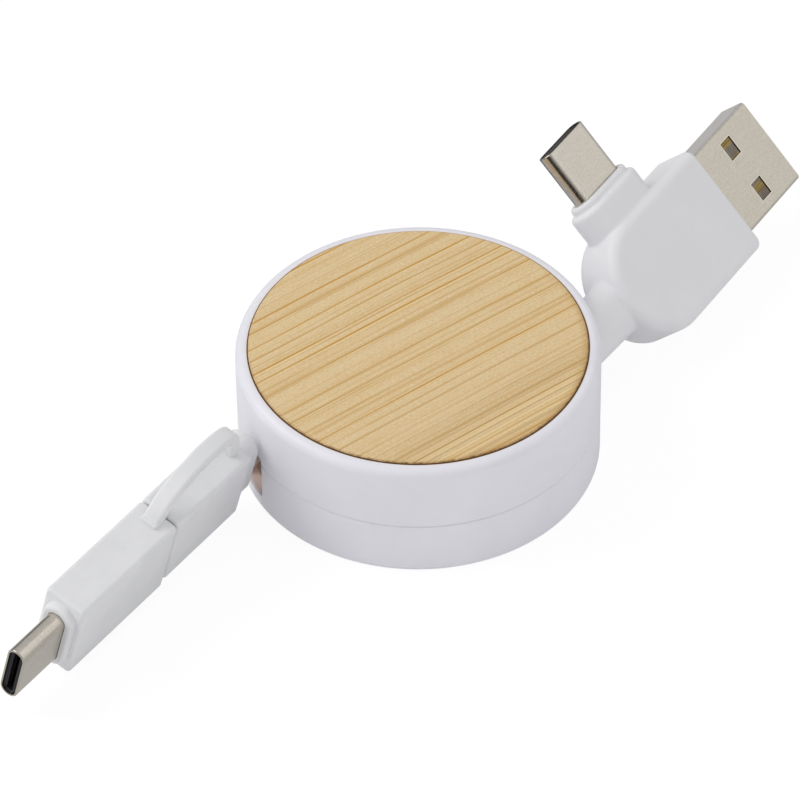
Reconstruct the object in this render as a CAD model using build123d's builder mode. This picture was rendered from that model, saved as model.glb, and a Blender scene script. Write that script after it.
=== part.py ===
# Retractable charging cable: a round spring-wound casing with one lead drawn out of each side.
# Millimetres, +Z up, origin at the centre of the casing's underside.
# The right lead (type A and type C plugs) runs along +X, the left lead (plug and adapter) along -X.
from build123d import *
from math import cos, pi, radians, sin, sqrt
import os

# Casing
casing_diameter = 43.0
casing_height = 15.9
seam_height = 7.2
side_wall = 1.5
floor_thickness = 1.5
plate_thickness = 1.6
rim_fillet = 1.1
base_fillet = 0.6
seam_chamfer = 0.12
lip_height = 0.9
lip_thickness = 0.65
lip_clearance = 0.08

# Bamboo disc, let into the top
disc_diameter = 40.0
disc_thickness = 1.2
disc_proud = 0.22
disc_clearance = 0.1
disc_edge = 0.15

# Exit slots in the side wall
slot_offset = 11.0
slot_width = 4.0
slot_height = 6.3
slot_corner = 0.6
left_slot_drop = 1.25
slot_overcut = 1.0

# Centre post, screw and thrust rings
post_radius = 2.5
bearing_clearance = 0.06
thrust_ring_width = 1.6
thrust_gap = 0.1
screw_shank_radius = 1.0
screw_head_radius = 2.0
screw_head_height = 1.0
screw_length = 8.0
screw_clearance = 0.05
cross_width = 0.5
cross_length = 2.2
cross_depth = 0.6

# Flat cable and drum
cable_width = 3.4
cable_thickness = 0.95
cable_bend = 3.5
cable_clearance = 0.2
cable_fit = 0.05
coil_gap = 0.1
drum_gap = 0.5
flange_lip = 2.4
hub_radius = 8.6
hub_wall = 1.0
drum_underside = 2.8
cover_thickness = 1.2

# Lock ball, its floor block and its track under the drum
ball_inset = 6.6
ball_clearance = 0.1
track_clearance = 0.35
track_headroom = 0.1
track_web = 0.4
block_length = 6.0
block_width = 5.0
block_height = 1.0
notch_count = 6
notch_radius = 1.5

# Mainspring
spring_thickness = 0.25
spring_pitch = 0.8
spring_gap = 0.15
spring_floor = 1.2
spring_floor_gap = 0.3
spring_top_gap = 0.6

# Leads: both lean a little from the X axis and are rolled about their own axis
# Their heights are shares of the casing's height
lead_splay = 1.75
right_offset = 12.2
left_offset = 11.0
right_height_share = 0.5472
left_height_share = 0.4717
left_cable_drop = 1.2
right_roll = 45.4
left_roll = 15.0
wall_gap = 0.3
pocket_depth = 1.5

# Right head
head_width = 15.2
head_thickness = 7.0
head_reach = 25.4
head_length = 23.2
head_drop = 0.3
head_edge_fillet = 1.3
head_end_fillet = 0.5
neck_width = 7.7
neck_thickness = 5.6
neck_taper = 2.5
neck_root = 5.0
boss_setback = 12.85
boss_length = 11.5
boss_thickness = 5.4
boss_height = 3.5
boss_root = 2.0
boss_edge = 0.6

# Left plug and adapter
plug_width = 10.9
adapter_width = 11.8
lead_thickness = 5.5
lead_corner = 0.6
lead_edge = 0.4
plug_set = 1.6
plug_length = 13.9
parting_gap = 0.2
adapter_length = 17.3
stub_width = 9.9
stub_thickness = 4.4
stub_rise = 0.2
stub_length = 2.65
stub_edge = 0.5

# Collar around each type C shell
collar_width = 10.0
collar_thickness = 4.2
collar_height = 1.0
collar_edge = 0.45

# Strap between adapter and plug
strap_width = 2.25
strap_thickness = 1.4
strap_front_set = 1.4
strap_front_lean = 2.3
strap_shoulder = 3.3
strap_peak_set = 7.2
strap_rise = 4.95
strap_crown = 3.9
strap_rear_set = 1.3
strap_rear_lean = 0.05
strap_bends = (3.0, 9.0, 2.2)
strap_pad_length = 1.0
strap_pad_height = 0.6

# Type A plug
type_a_width = 12.0
type_a_height = 4.5
type_a_sheet = 0.3
type_a_corner = 0.5
type_a_exposed = 12.7
type_a_embedded = 4.0
window_width = 2.55
window_length = 2.1
window_from_tip = 5.25
window_spacing = 6.3
type_a_tongue = 1.85
type_a_tongue_set = 0.4
type_a_block_set = 9.0
type_a_contact_set = 1.2
type_a_contact_width = 1.0
type_a_contact_places = (-3.5, -1.0, 1.0, 3.5)

# Type C plug
type_c_width = 8.25
type_c_height = 2.4
type_c_sheet = 0.25
type_c_lip = 0.1
type_c_exposed = 7.2
type_c_embedded = 3.5
type_c_tail = 2.4
type_c_insert_set = 0.25
type_c_mouth_width = 6.7
type_c_mouth_height = 0.8
type_c_mouth_depth = 5.0
type_c_contact_count = 12
type_c_contact_pitch = 0.5
type_c_contact_width = 0.28
type_c_contact_set = 0.6

# Small plug inside the adapter and the socket that takes it
micro_width = 6.85
micro_height = 1.8
micro_sheet = 0.25
micro_corner = 0.5
micro_exposed = 6.0
micro_embedded = 4.0
micro_block_length = 1.0
micro_tongue = 0.6
micro_tongue_set = 0.3
micro_contact_count = 5
micro_contact_pitch = 0.65
micro_contact_width = 0.35
micro_contact_set = 0.6
socket_sheet = 0.25
socket_clearance = 0.06
socket_end_gap = 0.3
socket_block_length = 1.2
socket_tongue_width = 3.9
socket_tongue_height = 0.3
socket_tongue_rise = 0.35
socket_tongue_length = 4.0

# Circuit boards and contact strips
board_thickness = 0.8
board_gap = 0.2
head_board_length = 12.0
head_board_width = 10.0
adapter_board_width = 7.0
contact_thickness = 0.12
mould_clearance = 0.05

# Worked-out sizes
casing_radius = casing_diameter / 2
inner_radius = casing_radius - side_wall
recess_depth = disc_thickness - disc_proud
plate_top = casing_height - recess_depth
ceiling_height = plate_top - plate_thickness
right_height = casing_height * right_height_share
left_height = casing_height * left_height_share
right_slot_height = right_height
slot_start = sqrt(inner_radius**2 - (slot_offset + slot_width / 2) ** 2) - slot_overcut
bearing_radius = post_radius + bearing_clearance
thrust_inner = post_radius + 2 * bearing_clearance
thrust_outer = thrust_inner + thrust_ring_width
flange_radius = inner_radius - drum_gap
coil_radius = flange_radius - flange_lip
left_cable_height = left_height - left_cable_drop
left_slot_height = left_cable_height - left_slot_drop
coil_height = (right_height + left_cable_height) / 2
lower_flange_top = min(right_height, left_cable_height) - cable_width / 2 - cable_clearance
cover_bottom = max(right_height, left_cable_height) + cable_width / 2 + cable_clearance
ball_diameter = lower_flange_top - track_web - track_headroom - floor_thickness
ball_circle_radius = flange_radius - ball_inset
track_inner = ball_circle_radius - ball_diameter / 2 - track_clearance
track_outer = ball_circle_radius + ball_diameter / 2 + track_clearance
track_depth = floor_thickness + ball_diameter + track_headroom - drum_underside
cavity_floor = drum_underside + spring_floor
spring_height = cover_bottom - cavity_floor - spring_floor_gap - spring_top_gap
spring_margin = spring_gap + spring_thickness / 2 + spring_pitch / 4
spring_start_radius = post_radius + spring_margin
spring_room = hub_radius - hub_wall - spring_margin - spring_start_radius
spring_half_turns = int(spring_room / (spring_pitch / 2)) + 1
lead_cable_length = pi * (coil_radius**2 - hub_radius**2) / (2 * cable_thickness)
neck_end_radius = casing_radius + wall_gap
right_neck_end = sqrt(neck_end_radius**2 - right_offset**2)
right_neck_tip = sqrt(neck_end_radius**2 - (right_offset + neck_width / 2) ** 2)
head_end = casing_radius + head_reach
head_tail = head_end - head_length
neck_start = head_tail + neck_root
head_top = head_width / 2 - head_drop
head_bottom = -head_width / 2 - head_drop
boss_top = head_top + boss_height
plug_rear = casing_radius + plug_set
plug_front = plug_rear + plug_length
left_neck_end = plug_rear - stub_length
adapter_rear = plug_front + parting_gap
adapter_front = adapter_rear + adapter_length
adapter_drop = (adapter_width - plug_width) / 2
up = Vector(0, 0, 1)
right_axis = Vector(cos(radians(lead_splay)), sin(radians(lead_splay)), 0)
left_axis = Vector(-cos(radians(lead_splay)), sin(radians(lead_splay)), 0)


def lead_plane(axis, offset, height, along, roll):
    """Plane square to a lead: local z runs outwards, local x is the lead's wide way."""
    side = axis.cross(up)
    wide = up * cos(radians(roll)) - side * sin(radians(roll))
    origin = side * offset + up * height + axis * along
    return Plane(origin, x_dir=wide, z_dir=axis)


def right_plane(along, roll=right_roll):
    return lead_plane(right_axis, right_offset, right_height, along, roll)


def left_plane(along, roll=left_roll):
    return lead_plane(left_axis, left_offset, left_height, along, roll)


def adapter_plane(along):
    """Square plane through the middle of the adapter, whose top is level with the plug's."""
    square = left_plane(along)
    return Plane(square.origin - square.x_dir * adapter_drop, x_dir=square.x_dir, z_dir=square.z_dir)


def broad_plane(square):
    """Plane through a lead's broad face: local x runs outwards, local y is the wide way."""
    return Plane(square.origin, x_dir=square.z_dir, z_dir=square.y_dir)


def save(piece, name):
    piece.part.label = name
    export_step(piece.part, f"parts/{name}.step")


right_broad = broad_plane(right_plane(0))
left_broad = broad_plane(left_plane(0))
boss_square = right_plane(head_end - boss_setback)
boss_plane = Plane(boss_square.origin, x_dir=right_axis, z_dir=boss_square.x_dir)
head_type_c_plane = boss_plane.offset(boss_top + collar_height)
adapter_type_c_plane = adapter_plane(adapter_front + collar_height)
os.makedirs("parts", exist_ok=True)


# Lower shell: floor, side wall with its lip, centre post, thrust ring and the ball's block
with BuildPart() as lower_shell:
    with BuildSketch():
        Circle(casing_radius)
    extrude(amount=seam_height)
    fillet(lower_shell.faces().sort_by(Axis.Z)[0].edges(), base_fillet)
    chamfer(lower_shell.faces().sort_by(Axis.Z)[-1].edges(), seam_chamfer)
    with BuildSketch(Plane.XY.offset(floor_thickness)):
        Circle(inner_radius)
    extrude(amount=seam_height - floor_thickness, mode=Mode.SUBTRACT)
    with BuildSketch(Plane.XY.offset(floor_thickness)):
        Circle(inner_radius + lip_thickness)
        Circle(inner_radius, mode=Mode.SUBTRACT)
    extrude(amount=seam_height + lip_height - floor_thickness)
    with BuildSketch(Plane.XY.offset(floor_thickness)):
        Circle(thrust_outer)
    extrude(amount=drum_underside - thrust_gap - floor_thickness)
    with BuildSketch(Plane.XY.offset(floor_thickness)):
        Circle(post_radius)
    extrude(amount=ceiling_height - floor_thickness)
    with BuildSketch(Plane.XY.offset(floor_thickness)):
        with Locations((0, ball_circle_radius)):
            Rectangle(block_width, block_length)
            Rectangle(ball_diameter + 2 * ball_clearance, block_length, mode=Mode.SUBTRACT)
    extrude(amount=block_height)
    with BuildSketch(Plane.XY.offset(ceiling_height)):
        Circle(screw_shank_radius + screw_clearance)
    extrude(amount=-screw_length, mode=Mode.SUBTRACT)
    for side, middle in ((1, right_slot_height), (-1, left_slot_height)):
        with BuildSketch(Plane.YZ.offset(side * slot_start)):
            with Locations((-side * slot_offset, middle)):
                RectangleRounded(slot_width, slot_height, slot_corner)
        extrude(amount=side * casing_diameter, mode=Mode.SUBTRACT)
save(lower_shell, "lower_shell")


# Upper shell: side wall, plate with the disc's recess, thrust ring and screw hole
with BuildPart() as upper_shell:
    with BuildSketch(Plane.XY.offset(seam_height)):
        Circle(casing_radius)
    extrude(amount=casing_height - seam_height)
    fillet(upper_shell.faces().sort_by(Axis.Z)[-1].edges(), rim_fillet)
    chamfer(upper_shell.faces().sort_by(Axis.Z)[0].edges(), seam_chamfer)
    with BuildSketch(Plane.XY.offset(seam_height)):
        Circle(inner_radius)
    extrude(amount=ceiling_height - seam_height, mode=Mode.SUBTRACT)
    with BuildSketch(Plane.XY.offset(seam_height)):
        Circle(inner_radius + lip_thickness + lip_clearance)
    extrude(amount=lip_height + lip_clearance, mode=Mode.SUBTRACT)
    with BuildSketch(Plane.XY.offset(casing_height)):
        Circle(disc_diameter / 2 + disc_clearance)
    extrude(amount=-recess_depth, mode=Mode.SUBTRACT)
    with BuildSketch(Plane.XY.offset(ceiling_height)):
        Circle(thrust_outer)
        Circle(thrust_inner, mode=Mode.SUBTRACT)
    extrude(amount=cover_bottom + cover_thickness + thrust_gap - ceiling_height)
    with Locations((0, 0, plate_top)):
        CounterBoreHole(
            radius=screw_shank_radius + screw_clearance,
            counter_bore_radius=screw_head_radius + screw_clearance,
            counter_bore_depth=screw_head_height,
            depth=plate_thickness,
        )
    for side, middle in ((1, right_slot_height), (-1, left_slot_height)):
        with BuildSketch(Plane.YZ.offset(side * slot_start)):
            with Locations((-side * slot_offset, middle)):
                RectangleRounded(slot_width, slot_height, slot_corner)
        extrude(amount=side * casing_diameter, mode=Mode.SUBTRACT)
save(upper_shell, "upper_shell")


# Bamboo disc, resting on the plate
with BuildPart() as bamboo_disc:
    with BuildSketch(Plane.XY.offset(plate_top)):
        Circle(disc_diameter / 2)
    extrude(amount=disc_thickness)
    chamfer(bamboo_disc.faces().sort_by(Axis.Z)[-1].edges(), disc_edge)
save(bamboo_disc, "bamboo_disc")


# Screw that holds the upper shell to the post, hidden under the disc
with BuildPart() as centre_screw:
    with BuildSketch(Plane.XY.offset(plate_top)):
        Circle(screw_head_radius)
    extrude(amount=-screw_head_height)
    with BuildSketch(Plane.XY.offset(plate_top - screw_head_height)):
        Circle(screw_shank_radius)
    extrude(amount=-screw_length)
    with BuildSketch(Plane.XY.offset(plate_top)):
        Rectangle(cross_length, cross_width)
        Rectangle(cross_width, cross_length)
    extrude(amount=-cross_depth, mode=Mode.SUBTRACT)
save(centre_screw, "centre_screw")


# Lock ball, resting on the floor in its block
with BuildPart() as lock_ball:
    with BuildSketch(Plane.YZ):
        with BuildLine():
            ball_middle = (ball_circle_radius, floor_thickness + ball_diameter / 2)
            rim = CenterArc(ball_middle, ball_diameter / 2, -90, 180)
            Line(rim @ 1, rim @ 0)
        make_face()
    revolve(axis=Axis((0, ball_circle_radius, 0), (0, 0, 1)))
save(lock_ball, "lock_ball")


# Drum: hub with the spring's cavity, lower flange, bearing bore and the ball's track
with BuildPart() as drum:
    with BuildSketch(Plane.XY.offset(drum_underside)):
        Circle(flange_radius)
    extrude(amount=lower_flange_top - drum_underside)
    with BuildSketch(Plane.XY.offset(lower_flange_top)):
        Circle(hub_radius)
    extrude(amount=cover_bottom - lower_flange_top)
    with BuildSketch(Plane.XY.offset(cavity_floor)):
        Circle(hub_radius - hub_wall)
    extrude(amount=cover_bottom - cavity_floor, mode=Mode.SUBTRACT)
    with BuildSketch(Plane.XY.offset(drum_underside)):
        Circle(bearing_radius)
    extrude(amount=spring_floor, mode=Mode.SUBTRACT)
    with BuildSketch(Plane.XY.offset(drum_underside)):
        Circle(track_outer)
        Circle(track_inner, mode=Mode.SUBTRACT)
        with PolarLocations(track_inner, notch_count):
            Circle(notch_radius)
    extrude(amount=track_depth, mode=Mode.SUBTRACT)
save(drum, "drum")


# Drum cover: the upper flange, seated on the hub
with BuildPart() as drum_cover:
    with BuildSketch(Plane.XY.offset(cover_bottom)):
        Circle(flange_radius)
        Circle(bearing_radius, mode=Mode.SUBTRACT)
    extrude(amount=cover_thickness)
save(drum_cover, "drum_cover")


# Mainspring: a flat spiral of half turns between the post and the hub
with BuildPart() as mainspring:
    with BuildSketch(Plane.XY.offset(cavity_floor + spring_floor_gap)):
        with BuildLine():
            for half_turn in range(spring_half_turns):
                even = half_turn % 2 == 0
                shift = -spring_pitch / 4 if even else spring_pitch / 4
                radius = spring_start_radius + half_turn * spring_pitch / 2
                CenterArc((shift, 0), radius, 0 if even else 180, 180)
        trace(line_width=spring_thickness)
    extrude(amount=spring_height)
save(mainspring, "mainspring")


# Wound cable: the turns of both leads as one closed ring
with BuildPart() as wound_cable:
    with BuildSketch(Plane.XY.offset(coil_height - cable_width / 2)):
        Circle(coil_radius)
        Circle(hub_radius + cable_fit, mode=Mode.SUBTRACT)
    extrude(amount=cable_width)
save(wound_cable, "wound_cable")
print(f"cable wound for each lead: {lead_cable_length:.0f} mm")


def make_cable(axis, offset, height, end_along, name):
    """Flat cable on its edge: off the coil at a tangent, a bend by the slot, into the lead's neck."""
    side = axis.cross(up)
    bend_circle = (coil_radius + inner_radius) / 2
    bend = side * offset + axis * sqrt(bend_circle**2 - offset**2)
    bearing = bend.normalized()
    tangent_circle = coil_radius + coil_gap + cable_thickness / 2
    share = tangent_circle / bend_circle
    start = (bearing * share + bearing.cross(up) * sqrt(1 - share**2)) * tangent_circle
    finish = side * offset + axis * end_along
    route = [(point.X, point.Y) for point in (start, bend, finish)]
    with BuildPart() as cable:
        with BuildSketch(Plane.XY.offset(height - cable_width / 2)):
            with BuildLine():
                FilletPolyline(*route, radius=cable_bend)
            trace(line_width=cable_thickness)
        extrude(amount=cable_width)
    save(cable, name)


# Flat cable from the coil to each lead
make_cable(right_axis, right_offset, right_height, right_neck_end + pocket_depth, "right_cable")
make_cable(left_axis, left_offset, left_cable_height, left_neck_end + pocket_depth, "left_cable")


# Right head: slab with a round tail, neck towards the casing, boss and collar for the type C plug
board_end = head_end - type_a_embedded - board_gap
board_top = boss_top + collar_height - type_c_embedded - type_c_tail - board_gap
board_middle = (board_end - head_board_length / 2, board_top - head_board_width / 2)
with BuildPart() as head_body:
    with BuildSketch(right_broad.offset(-head_thickness / 2)):
        with BuildLine():
            tail_start = head_tail + head_width / 2
            lower = Line((head_end, head_bottom), (tail_start, head_bottom))
            tail = ThreePointArc(lower @ 1, (head_tail, -head_drop), (tail_start, head_top))
            upper = Line(tail @ 1, (head_end, head_top))
            Line(upper @ 1, lower @ 0)
        make_face()
    extrude(amount=head_thickness)
    for broad_face in head_body.faces().filter_by(Axis(right_broad.origin, right_broad.z_dir)):
        fillet(broad_face.edges().sort_by(Axis(right_broad.origin, right_axis))[:-1], head_edge_fillet)
    fillet(head_body.faces().sort_by(Axis(right_broad.origin, right_axis))[-1].edges(), head_end_fillet)
    with BuildSketch(right_plane(neck_start)):
        SlotOverall(neck_width, neck_thickness)
    extrude(amount=right_neck_tip - neck_start, taper=neck_taper)
    with BuildSketch(boss_plane.offset(head_top - boss_root)):
        SlotOverall(boss_length, boss_thickness)
    extrude(amount=boss_root + boss_height)
    boss_rim = head_body.faces().sort_by(Axis(boss_plane.origin, boss_plane.z_dir))[-1].edges()
    fillet(boss_rim, boss_edge)
    with BuildSketch(boss_plane.offset(boss_top)):
        SlotOverall(collar_width, collar_thickness)
    extrude(amount=collar_height)
    collar_rim = head_body.faces().sort_by(Axis(boss_plane.origin, boss_plane.z_dir))[-1].edges()
    fillet(collar_rim, collar_edge)
    with BuildSketch():
        Circle(neck_end_radius)
    extrude(amount=casing_height, mode=Mode.SUBTRACT)
    with BuildSketch(right_plane(right_neck_end + pocket_depth, roll=0)):
        Rectangle(cable_width + 2 * cable_fit, cable_thickness + 2 * cable_fit)
    extrude(amount=-neck_root, mode=Mode.SUBTRACT)
    with BuildSketch(right_plane(board_end)):
        RectangleRounded(
            type_a_width + 2 * mould_clearance,
            type_a_height + 2 * mould_clearance,
            type_a_corner + mould_clearance,
        )
    extrude(amount=head_end - board_end, mode=Mode.SUBTRACT)
    with BuildSketch(boss_plane.offset(board_top)):
        SlotOverall(type_c_width + 2 * mould_clearance, type_c_height + 2 * mould_clearance)
    extrude(amount=boss_top + collar_height - board_top, mode=Mode.SUBTRACT)
    with BuildSketch(right_broad):
        with Locations(board_middle):
            Rectangle(head_board_length, head_board_width)
    extrude(amount=board_thickness / 2 + mould_clearance, both=True, mode=Mode.SUBTRACT)
save(head_body, "head_body")


# Circuit board of the head, between the two connectors
with BuildPart() as head_board:
    with BuildSketch(right_broad):
        with Locations(board_middle):
            Rectangle(head_board_length, head_board_width)
    extrude(amount=board_thickness / 2, both=True)
save(head_board, "head_board")


# Type A plug: folded shell with two windows in each broad face
type_a_tip = head_end + type_a_exposed
with BuildPart() as type_a_shell:
    with BuildSketch(right_plane(head_end - type_a_embedded)):
        RectangleRounded(type_a_width, type_a_height, type_a_corner)
        RectangleRounded(
            type_a_width - 2 * type_a_sheet,
            type_a_height - 2 * type_a_sheet,
            type_a_corner - type_a_sheet,
            mode=Mode.SUBTRACT,
        )
    extrude(amount=type_a_embedded + type_a_exposed)
    with BuildSketch(right_broad):
        with Locations((type_a_tip - window_from_tip - window_length / 2, 0)):
            with GridLocations(1, window_spacing, 1, 2):
                Rectangle(window_length, window_width)
    extrude(amount=type_a_height, both=True, mode=Mode.SUBTRACT)
save(type_a_shell, "type_a_shell")


# Insulator of the type A plug: a block at the back and a tongue on the far side of the shell
inner_a_width = type_a_width - 2 * type_a_sheet - 2 * mould_clearance
inner_a_height = type_a_height - 2 * type_a_sheet - 2 * mould_clearance
tongue_face = type_a_tongue - inner_a_height / 2
with BuildPart() as type_a_insulator:
    with BuildSketch(right_plane(board_end)):
        Rectangle(inner_a_width, inner_a_height)
    extrude(amount=type_a_tip - type_a_block_set - board_end)
    with BuildSketch(right_plane(board_end)):
        with Locations((0, tongue_face - type_a_tongue / 2)):
            Rectangle(inner_a_width, type_a_tongue)
    extrude(amount=type_a_tip - type_a_tongue_set - board_end)
    fillet(
        type_a_insulator.edges().filter_by(Axis(right_broad.origin, right_axis)),
        type_a_corner - type_a_sheet,
    )
save(type_a_insulator, "type_a_insulator")


# Contacts of the type A plug, on the inner face of the tongue
with BuildPart() as type_a_contacts:
    with BuildSketch(right_plane(type_a_tip - type_a_block_set)):
        for place in type_a_contact_places:
            with Locations((place, tongue_face + contact_thickness / 2)):
                Rectangle(type_a_contact_width, contact_thickness)
    extrude(amount=type_a_block_set - type_a_contact_set)
save(type_a_contacts, "type_a_contacts")


def make_type_c_plug(base, prefix):
    """Shell, insert and contacts of a type C plug that stands on the plane base, local x its width."""
    with BuildPart() as shell:
        with BuildSketch(base.offset(-type_c_embedded)):
            SlotOverall(type_c_width, type_c_height)
        extrude(amount=type_c_embedded + type_c_exposed)
        fillet(shell.faces().sort_by(Axis(base.origin, base.z_dir))[-1].edges(), type_c_lip)
        with BuildSketch(base.offset(-type_c_embedded)):
            SlotOverall(type_c_width - 2 * type_c_sheet, type_c_height - 2 * type_c_sheet)
        extrude(amount=type_c_embedded + type_c_exposed, mode=Mode.SUBTRACT)
    save(shell, f"{prefix}_type_c_shell")

    insert_top = type_c_exposed - type_c_insert_set
    gap = 2 * (type_c_sheet + mould_clearance)
    with BuildPart() as insert:
        with BuildSketch(base.offset(-type_c_embedded - type_c_tail)):
            SlotOverall(type_c_width - gap, type_c_height - gap)
        extrude(amount=type_c_embedded + type_c_tail + insert_top)
        with BuildSketch(base.offset(insert_top)):
            Rectangle(type_c_mouth_width, type_c_mouth_height)
        extrude(amount=-type_c_mouth_depth, mode=Mode.SUBTRACT)
    save(insert, f"{prefix}_type_c_insert")

    with BuildPart() as contacts:
        with BuildSketch(base.offset(insert_top - type_c_mouth_depth)):
            with GridLocations(
                type_c_contact_pitch,
                type_c_mouth_height - contact_thickness,
                type_c_contact_count,
                2,
            ):
                Rectangle(type_c_contact_width, contact_thickness)
        extrude(amount=type_c_mouth_depth - type_c_contact_set)
    save(contacts, f"{prefix}_type_c_contacts")


make_type_c_plug(head_type_c_plane, "head")
make_type_c_plug(adapter_type_c_plane, "adapter")


# Left plug: moulded body with the stub that the flat cable enters
with BuildPart() as plug_body:
    with BuildSketch(left_plane(plug_rear)):
        RectangleRounded(plug_width, lead_thickness, lead_corner)
    extrude(amount=plug_length)
    ends = plug_body.faces().filter_by(Axis(left_broad.origin, left_axis))
    fillet(ends.edges(), lead_edge)
    with BuildSketch(left_plane(plug_rear)):
        with Locations((stub_rise, 0)):
            SlotOverall(stub_width, stub_thickness)
    extrude(amount=-stub_length)
    stub_rim = plug_body.faces().sort_by(Axis(left_broad.origin, left_axis))[0].edges()
    fillet(stub_rim, stub_edge)
    with BuildSketch(left_plane(left_neck_end, roll=0)):
        with Locations((-left_cable_drop, 0)):
            Rectangle(cable_width + 2 * cable_fit, cable_thickness + 2 * cable_fit)
    extrude(amount=pocket_depth, mode=Mode.SUBTRACT)
    with BuildSketch(left_plane(plug_front)):
        RectangleRounded(
            micro_width + 2 * mould_clearance,
            micro_height + 2 * mould_clearance,
            micro_corner + mould_clearance,
        )
    extrude(amount=-micro_embedded, mode=Mode.SUBTRACT)
save(plug_body, "plug_body")


# Shell of the small plug
with BuildPart() as plug_shell:
    with BuildSketch(left_plane(plug_front - micro_embedded)):
        RectangleRounded(micro_width, micro_height, micro_corner)
        RectangleRounded(
            micro_width - 2 * micro_sheet,
            micro_height - 2 * micro_sheet,
            micro_corner - micro_sheet,
            mode=Mode.SUBTRACT,
        )
    extrude(amount=micro_embedded + micro_exposed)
save(plug_shell, "plug_shell")


# Insulator of the small plug: a block at the back and a tongue that carries the contacts
inner_micro_width = micro_width - 2 * micro_sheet - 2 * mould_clearance
inner_micro_height = micro_height - 2 * micro_sheet - 2 * mould_clearance
micro_face = micro_tongue - inner_micro_height / 2
with BuildPart() as plug_insulator:
    with BuildSketch(left_plane(plug_front - micro_embedded)):
        RectangleRounded(inner_micro_width, inner_micro_height, micro_corner - micro_sheet)
    extrude(amount=micro_embedded + micro_block_length)
    with BuildSketch(left_plane(plug_front)):
        with Locations((0, micro_face - micro_tongue / 2)):
            RectangleRounded(inner_micro_width, micro_tongue, micro_corner - micro_sheet)
    extrude(amount=micro_exposed - micro_tongue_set)
save(plug_insulator, "plug_insulator")


# Contacts of the small plug
with BuildPart() as plug_contacts:
    with BuildSketch(left_plane(plug_front + micro_block_length)):
        with Locations((0, micro_face + contact_thickness / 2)):
            with GridLocations(micro_contact_pitch, 1, micro_contact_count, 1):
                Rectangle(micro_contact_width, contact_thickness)
    extrude(amount=micro_exposed - micro_block_length - micro_contact_set)
save(plug_contacts, "plug_contacts")


# Adapter: moulded body with a collar in front and a socket behind
socket_inner_width = micro_width + 2 * socket_clearance
socket_inner_height = micro_height + 2 * socket_clearance
socket_inner_corner = micro_corner + socket_clearance
socket_outer_width = socket_inner_width + 2 * socket_sheet
socket_outer_height = socket_inner_height + 2 * socket_sheet
socket_outer_corner = socket_inner_corner + socket_sheet
socket_block_start = plug_front + micro_exposed + socket_end_gap
socket_end = socket_block_start + socket_block_length
adapter_board_start = socket_end + board_gap
adapter_board_end = adapter_front + collar_height - type_c_embedded - type_c_tail - board_gap
adapter_board_middle = ((adapter_board_start + adapter_board_end) / 2, 0)
with BuildPart() as adapter_body:
    with BuildSketch(adapter_plane(adapter_rear)):
        RectangleRounded(adapter_width, lead_thickness, lead_corner)
    extrude(amount=adapter_length)
    ends = adapter_body.faces().filter_by(Axis(left_broad.origin, left_axis))
    fillet(ends.edges(), lead_edge)
    with BuildSketch(adapter_plane(adapter_front)):
        SlotOverall(collar_width, collar_thickness)
    extrude(amount=collar_height)
    collar_rim = adapter_body.faces().sort_by(Axis(left_broad.origin, left_axis))[-1].edges()
    fillet(collar_rim, collar_edge)
    with BuildSketch(adapter_plane(adapter_board_end)):
        SlotOverall(type_c_width + 2 * mould_clearance, type_c_height + 2 * mould_clearance)
    extrude(amount=adapter_length, mode=Mode.SUBTRACT)
    with BuildSketch(left_plane(adapter_board_start)):
        RectangleRounded(
            socket_outer_width + 2 * mould_clearance,
            socket_outer_height + 2 * mould_clearance,
            socket_outer_corner + mould_clearance,
        )
    extrude(amount=-adapter_length, mode=Mode.SUBTRACT)
    with BuildSketch(left_broad):
        with Locations(adapter_board_middle):
            Rectangle(adapter_board_end - adapter_board_start, adapter_board_width)
    extrude(amount=board_thickness / 2 + mould_clearance, both=True, mode=Mode.SUBTRACT)
save(adapter_body, "adapter_body")


# Circuit board of the adapter, between its socket and its type C plug
with BuildPart() as adapter_board:
    with BuildSketch(left_broad):
        with Locations(adapter_board_middle):
            Rectangle(adapter_board_end - adapter_board_start, adapter_board_width)
    extrude(amount=board_thickness / 2, both=True)
save(adapter_board, "adapter_board")


# Metal liner of the adapter's socket
with BuildPart() as socket_liner:
    with BuildSketch(left_plane(adapter_rear)):
        RectangleRounded(socket_outer_width, socket_outer_height, socket_outer_corner)
        RectangleRounded(
            socket_inner_width,
            socket_inner_height,
            socket_inner_corner,
            mode=Mode.SUBTRACT,
        )
    extrude(amount=socket_end - adapter_rear)
save(socket_liner, "socket_liner")


# Block at the back of the socket, with the tongue that enters the small plug
with BuildPart() as socket_block:
    with BuildSketch(left_plane(socket_block_start)):
        RectangleRounded(
            socket_inner_width - 2 * mould_clearance,
            socket_inner_height - 2 * mould_clearance,
            socket_inner_corner - mould_clearance,
        )
    extrude(amount=socket_block_length)
    with BuildSketch(left_plane(socket_block_start)):
        with Locations((0, socket_tongue_rise)):
            Rectangle(socket_tongue_width, socket_tongue_height)
    extrude(amount=-socket_tongue_length)
save(socket_block, "socket_block")


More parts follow.
